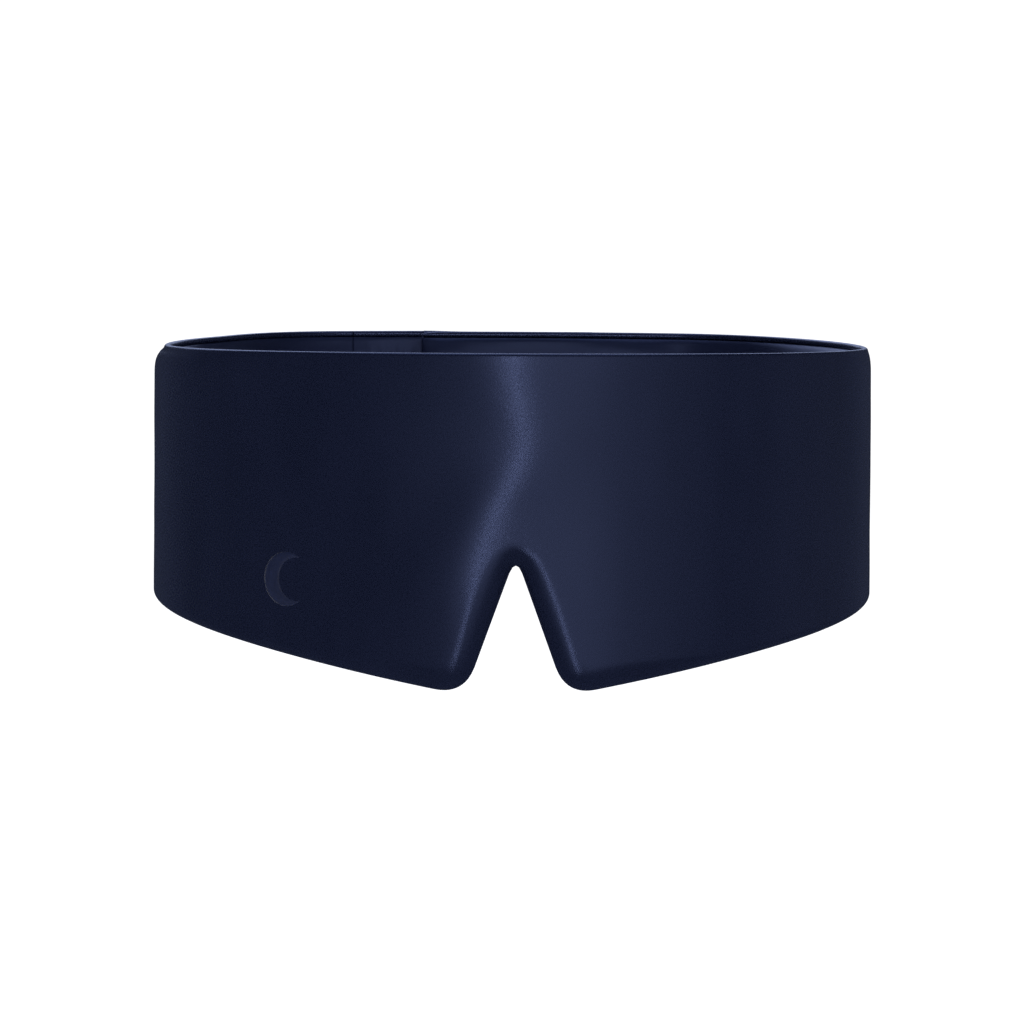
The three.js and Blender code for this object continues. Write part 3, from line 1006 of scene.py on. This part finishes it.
def make_camera():
    distance = 2.5
    azimuth = math.radians(-0.65)
    elevation = math.radians(2.9)
    target = Vector((0, 0, 0.0037))
    data = bpy.data.cameras.new("camera")
    camera = bpy.data.objects.new("camera", data)
    bpy.context.scene.collection.objects.link(camera)
    camera.location = target + distance * Vector((
        math.sin(azimuth) * math.cos(elevation),
        -math.cos(azimuth) * math.cos(elevation),
        math.sin(elevation),
    ))
    aim(camera, target)
    camera.rotation_euler.rotate_axis("Z", math.radians(0.3))
    data.sensor_width = 36
    data.lens = 331
    bpy.context.scene.camera = camera


GRADED = 86  # spread in degrees, so that a light fades away from its axis and shows no hard edge


def area_light(name, location, at, size, power, colour=(1, 1, 1), spread=180):
    data = bpy.data.lights.new(name, "AREA")
    data.shape = "RECTANGLE"
    data.size, data.size_y = size
    data.energy = power
    data.color = colour
    data.spread = math.radians(spread)
    light = bpy.data.objects.new(name, data)
    bpy.context.scene.collection.objects.link(light)
    light.location = location
    aim(light, at)


def make_studio():
    world = bpy.data.worlds.new("studio")
    bpy.context.scene.world = world
    world.use_nodes = True
    background = world.node_tree.nodes["Background"]
    background.inputs["Color"].default_value = (0.5, 0.6, 1, 1)
    background.inputs["Strength"].default_value = 0.06
    area_light("key", (0.02, -2.3, 0.1), (0, 0, 0.02), (0.1, 2.4), 3.6)
    area_light("soft_box", (0.3, -2.4, 0.15), (0, 0, 0), (2.0, 2.2), 2.4)
    area_light("front_wash", (-0.3, -2.4, 0.15), (0, 0, 0), (3.2, 2.2), 0.4, spread=GRADED)
    area_light("right_fill", (1.15, -1.99, 0.3), (0, 0, 0), (3.4, 2.0), 0.8, spread=GRADED)
    area_light("right_side", (2.27, 0.4, 0.2), (0, 0, 0), (3.2, 2.0), 0.15, spread=GRADED)
    area_light("overhead", (0, 0.3, 1.8), (0, 0, 0), (1.6, 1.6), 5.2, (0.65, 0.75, 1))
    area_light("back_overhead", (-0.3, 1.8, 1.3), (0, 0, 0), (1.8, 1.2), 6.5, (0.6, 0.7, 1))
    area_light("back_soft", (0, 2.3, 0.85), (0, 0, 0), (1.2, 1.2), 4, (0.6, 0.7, 1))
    for side in (-1, 1):
        area_light("back_glow", (1.35 * side, 2.0, 0.15), (0, 0, 0), (1.2, 1.4), 0.15, (0.55, 0.65, 1))

    across = np.linspace(-12, 12, 81)
    x, y = np.meshgrid(across, across, indexing="ij")
    z = -0.16 + 3 * smoothstep(np.hypot(x, y), 7, 12)
    floor = grid_mesh("studio_floor", np.stack([x, y, z], -1))
    n = Nodes("pale_floor")
    grain = n.noise(n.add("ShaderNodeTexCoord").outputs["Object"])
    n.set(Base_Color=n.mix(grain, (0.3, 0.3, 0.3, 1), (0.32, 0.32, 0.32, 1)), Roughness=0.9)
    n.set(Emission_Color=(1, 1, 1, 1), Emission_Strength=1.05)
    floor.data.materials.append(n.material)
    floor.visible_glossy = False
    bpy.context.scene.view_settings.view_transform = "Standard"


make_camera()
make_studio()
